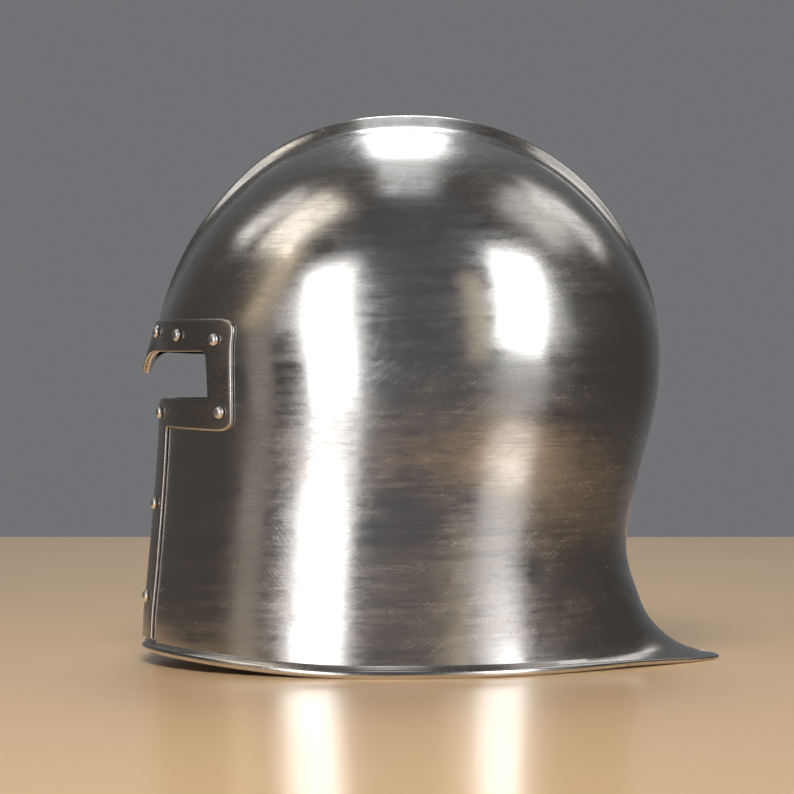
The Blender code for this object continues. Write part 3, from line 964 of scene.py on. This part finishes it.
@dataclass
class FaceBorder:
    """Continuous plate round the eyes and down both sides of the slit."""

    form: SkullForm
    outline: OpeningOutline
    gap: float = 0.0003
    plate: float = 0.0015
    inner_round: float = 0.0007
    outer_round: float = 0.0013
    round_depth: float = 0.72
    round_steps: int = 5
    face_steps: int = 5
    smooth_degrees: float = 40.0

    def _section(self, width: Array) -> list[tuple[Array, Array]]:
        """Closed section across the plate.

        Args:
            width: Width of the plate at each point along it.

        Returns:
            Share of the width and lift off the shell, for each line along the plate.
        """
        top = self.gap + self.plate
        fall = self.plate * self.round_depth
        rows = [(0.0, self.gap)]
        for angle in np.linspace(0.0, math.pi / 2, self.round_steps):
            share = self.inner_round * (1 - math.cos(angle)) / width
            rows.append((share, top - fall * (1 - math.sin(angle))))
        for step in range(1, self.face_steps):
            rows.append((step / self.face_steps, top))
        for angle in np.linspace(math.pi / 2, 0.0, self.round_steps):
            share = 1 - self.outer_round * (1 - math.cos(angle)) / width
            rows.append((share, top - fall * (1 - math.sin(angle))))
        rows += [(1.0, self.gap), (0.5, self.gap), rows[0]]
        return [(share + 0.0 * width, lift + 0.0 * width) for share, lift in rows]

    def build(self) -> bpy.types.Object:
        """Builds the plate on the shell and dresses it.

        Returns:
            The finished border.
        """
        flip = np.array([-1.0, 1.0])
        inner, outer = (np.concatenate([run[:0:-1] * flip, run]) for run in self.outline.runs())
        lines = []
        for share, lift in self._section(np.linalg.norm(outer - inner, axis=1)):
            flat = inner + (outer - inner) * share[:, None]
            lines.append(self.form.on_front(flat[:, 0], flat[:, 1], lift)[0])
        border = wrapped_grid("face_border_plate", np.array(lines))
        close_up(border)
        bpy.ops.object.mode_set(mode="EDIT")
        bpy.ops.mesh.select_all(action="DESELECT")
        bpy.ops.mesh.select_non_manifold()
        bpy.ops.mesh.edge_face_add()
        bpy.ops.mesh.select_all(action="SELECT")
        bpy.ops.mesh.normals_make_consistent(inside=False)
        bpy.ops.object.mode_set(mode="OBJECT")
        dress(border, [BORDER_STEEL.material()], self.smooth_degrees)
        mount(border, ["face_border"])
        return border


@dataclass
class Rivets:
    """Domed rivet heads of the border, seven a side."""

    form: SkullForm
    radius: float = 0.0032
    height: float = 0.0023
    lift: float = 0.0021
    segments: int = 40
    rings: int = 24
    worn_share: float = 0.10
    smooth_degrees: float = 50.0

    def _head(self) -> bpy.types.Object:
        """One head with a slightly worn top, standing on the origin.

        Returns:
            The head, without its finish.
        """
        deselect_all()
        bpy.ops.mesh.primitive_uv_sphere_add(
            segments=self.segments, ring_count=self.rings, radius=self.radius)
        head = bpy.context.object
        bpy.ops.object.mode_set(mode="EDIT")
        bpy.ops.mesh.select_all(action="SELECT")
        bpy.ops.mesh.bisect(
            plane_co=(0.0, 0.0, 0.0), plane_no=(0.0, 0.0, 1.0), use_fill=True, clear_inner=True)
        bpy.ops.mesh.select_all(action="SELECT")
        bpy.ops.transform.resize(value=(1.0, 1.0, self.height / self.radius))
        bpy.ops.object.mode_set(mode="OBJECT")
        for vertex in head.data.vertices:
            out = math.hypot(vertex.co.x, vertex.co.y) / self.radius
            vertex.co.z *= 1 - self.worn_share * (1 - out) ** 2
        close_up(head)
        return head

    def build(self) -> list[bpy.types.Object]:
        """Builds one head and sets a copy of it at every spot on both sides.

        Returns:
            The finished rivets.
        """
        head = self._head()
        dress(head, [RIVET_STEEL.material()], self.smooth_degrees)
        made = []
        for spot in RivetSpot:
            for side in Side:
                name = f"{spot.name.lower()}_{side.name.lower()}"
                made.append(self._place(head, name, spot, side))
        bpy.data.objects.remove(head, do_unlink=True)
        return made

    def _place(self, head: bpy.types.Object, name: str, spot: RivetSpot, side: Side) -> bpy.types.Object:
        """Sets one copy of the head on the border.

        Args:
            head: The dressed head.
            name: Name of the place and the side.
            spot: Where it goes on a side.
            side: Which side.

        Returns:
            The finished rivet.
        """
        away, height = spot.value
        where = (np.array([away * side.value]), np.array([height]), np.array([self.lift]))
        points, normals = self.form.on_front(*where)
        rivet = bpy.data.objects.new(f"rivet_head_{name}", head.data.copy())
        bpy.context.scene.collection.objects.link(rivet)
        upright = Vector(normals[0]).to_track_quat("Z", "Y").to_matrix().to_4x4()
        rivet.matrix_world = Matrix.Translation(Vector(points[0])) @ upright
        settle(rivet)
        mount(rivet, [f"rivet_{name}"])
        return rivet


@dataclass
class Softbox:
    """One soft studio panel, placed by the edges it shows from the helmet.

    Turns are its sides from the camera side and rises its edges above the level, in degrees. Lean
    turns it in its own plane, and aim is the place on the helmet that it faces.
    """

    name: str
    turns: Pair
    rises: Pair
    radiance: float
    colour: Triple = WHITE
    lean: float = 0.0
    away: float = 2.2
    aim: Triple = (-0.01, -0.08, 0.12)

    def _reach(self, ends: Pair) -> float:
        """Length of the panel between two directions."""
        return 2 * self.away * math.tan(math.radians(ends[1] - ends[0]) / 2)

    def build(self) -> bpy.types.Object:
        """Sets the panel up.

        Returns:
            The light, seen only in reflections.
        """
        turn, rise = (math.radians(sum(ends) / 2) for ends in (self.turns, self.rises))
        size = (self._reach(self.turns) * math.cos(rise), self._reach(self.rises))
        out = Vector((math.sin(turn) * math.cos(rise), -math.cos(turn) * math.cos(rise), math.sin(rise)))
        place = Vector(self.aim) + out * self.away
        light = area_light(self.name, place, out, size, self.radiance, self.colour)
        light.rotation_euler.rotate_axis("Z", math.radians(self.lean))
        light.visible_diffuse = False
        return light


def area_light(name: str, place: Vector, out: Vector, size: Pair, radiance: float,
               colour: Triple = WHITE) -> bpy.types.Object:
    """Adds one rectangular light.

    Args:
        name: Name of the light.
        place: Its middle.
        out: Direction from what it lights to the light.
        size: Its width and height.
        radiance: Brightness of its face.
        colour: Its tint.

    Returns:
        The light, hidden from the camera.
    """
    data = bpy.data.lights.new(name, "AREA")
    data.shape = "RECTANGLE"
    data.size, data.size_y = size
    data.energy = math.pi * size[0] * size[1] * radiance
    data.color = colour
    light = bpy.data.objects.new(name, data)
    bpy.context.scene.collection.objects.link(light)
    light.location = place
    light.rotation_euler = out.to_track_quat("Z", "Y").to_euler()
    light.visible_camera = False
    return light


@dataclass
class Studio:
    """Table, surroundings, lights and camera."""

    floor_back: float = 1.085
    floor_front: float = -0.468
    floor_half: float = 0.40
    floor_middle: float = -0.015
    camera_place: Triple = (-0.0183, -1.375, 0.1462)
    camera_tilt: float = -0.27
    camera_lens: float = 115.96
    camera_sensor: float = 36.0
    # Turn from the camera side as a share of the full circle from -180 degrees, and colour.
    room: tuple[tuple[float, Triple], ...] = (
        (0.00, WALL_GREY), (0.05, WALL_GREY), (0.16, (0.080, 0.073, 0.067)), (0.36, (0.066, 0.058, 0.051)),
        (0.47, NEAR_GREY), (0.53, NEAR_GREY), (0.68, (0.066, 0.060, 0.055)), (0.84, (0.066, 0.061, 0.056)),
        (0.95, WALL_GREY), (1.00, WALL_GREY),
    )
    panels: tuple[Softbox, ...] = (
        Softbox("softbox_left", (-41.0, -21.5), (-7.5, 37.0), 4.0, lean=12.0),
        Softbox("softbox_left_foot", (-37.0, -16.0), (-13.0, -7.5), 1.9),
        Softbox("softbox_right", (36.5, 57.5), (1.0, 43.0), 4.0, lean=-13.0),
        Softbox("low_panel_right", (33.0, 55.0), (-12.0, 0.0), 0.42),
        Softbox("warm_wall_left", (-70.0, -57.0), (12.0, 42.0), 0.70, (1.0, 0.80, 0.52)),
        Softbox("warm_low_left", (-66.0, -54.0), (-10.0, 12.0), 0.26, (1.0, 0.90, 0.78)),
        Softbox("warm_high_left", (-92.0, -60.0), (40.0, 66.0), 1.7, (1.0, 0.93, 0.80)),
        Softbox("warm_wall_middle", (22.0, 31.0), (-2.0, 33.0), 0.50, (1.0, 0.84, 0.58)),
        Softbox("wall_right", (57.0, 68.0), (3.0, 40.0), 0.30),
        Softbox("high_right", (78.0, 112.0), (39.0, 62.0), 0.75, (1.0, 0.97, 0.92)),
        Softbox("high_back_right", (112.0, 131.0), (30.0, 54.0), 1.1, (1.0, 0.97, 0.93)),
        Softbox("high_far_left", (-117.0, -99.0), (37.0, 58.0), 1.15, (1.0, 0.97, 0.92)),
    )
    # Name, middle, size and radiance of the panels under the ceiling.
    ceiling: tuple[tuple[str, Pair, Pair, float], ...] = (
        ("ceiling_panel", (-0.02, 1.99), (0.52, 2.62), 4.2),
        ("ceiling_panel_near", (-0.02, 0.105), (0.52, 1.15), 0.8),
    )
    ceiling_height: float = 2.0
    # Name, place, size and radiance of the lights that nothing reflects.
    table_lights: tuple[tuple[str, Triple, float, float], ...] = (
        ("table_light_back", (0.05, 0.80, 1.30), 0.7, 4.2),
        ("table_light_front", (-0.10, -0.62, 0.95), 0.4, 17.5),
    )
    table_aim: Triple = (0.0, -0.1, 0.0)

    def _floor(self) -> None:
        """Plain pale table top under the helmet."""
        deselect_all()
        bpy.ops.mesh.primitive_plane_add(size=1.0)
        floor = bpy.context.object
        floor.name = "table_top"
        floor.scale = (2 * self.floor_half, self.floor_back - self.floor_front, 1.0)
        floor.location = (self.floor_middle, (self.floor_back + self.floor_front) / 2, 0.0)
        settle(floor)
        floor.data.materials.append(FloorFinish().material())

    def _room(self) -> None:
        """Plain grey surroundings, a little darker and warmer at the sides."""
        world = bpy.data.worlds.new("room")
        world.use_nodes = True
        board = Board(world.node_tree)
        way = board.node("TexCoord", out="Generated")
        x = board.node("SeparateXYZ", None, {0: way}, "X")
        y = board.node("SeparateXYZ", None, {0: way}, "Y")
        turn = board.node("Math", {"operation": "ARCTAN2"}, {0: x, 1: y * -1.0})
        shade = board.node("ValToRGB", {"stops": self.room}, {0: turn * (0.5 / math.pi) + 0.5})
        light = board.node("Background", None, {"Color": shade, "Strength": 1.0})
        board.node("OutputWorld", None, {"Surface": light})
        bpy.context.scene.world = world

    def _camera(self) -> None:
        """Camera level with the eye opening, square to the helmet's left side."""
        data = bpy.data.cameras.new("camera")
        data.lens = self.camera_lens
        data.sensor_width = self.camera_sensor
        camera = bpy.data.objects.new("camera", data)
        bpy.context.scene.collection.objects.link(camera)
        camera.location = self.camera_place
        camera.rotation_euler = (math.radians(90 + self.camera_tilt), 0.0, 0.0)
        bpy.context.scene.camera = camera

    def build(self) -> None:
        """Sets the studio up round the helmet."""
        self._floor()
        self._room()
        for panel in self.panels:
            panel.build()
        up = Vector((0.0, 0.0, 1.0))
        for name, middle, size, radiance in self.ceiling:
            area_light(name, Vector((*middle, self.ceiling_height)), up, size, radiance)
        for name, place, size, radiance in self.table_lights:
            out = (Vector(place) - Vector(self.table_aim)).normalized()
            light = area_light(name, Vector(place), out, (size, size), radiance)
            light.visible_glossy = False
        self._camera()
        bpy.context.scene.view_settings.view_transform = "Standard"
        lights = len(self.panels) + len(self.ceiling) + len(self.table_lights)
        LOG.info("studio: table top, surroundings, %d lights, camera", lights)


def main() -> None:
    """Builds the helmet and its studio in order."""
    logging.basicConfig(level=logging.INFO, format="%(message)s")
    form = SkullForm()
    outline = OpeningOutline()
    SkullShell(form, outline).build()
    FaceBorder(form, outline).build()
    Rivets(form).build()
    Studio().build()


if __name__ == "__main__":
    main()
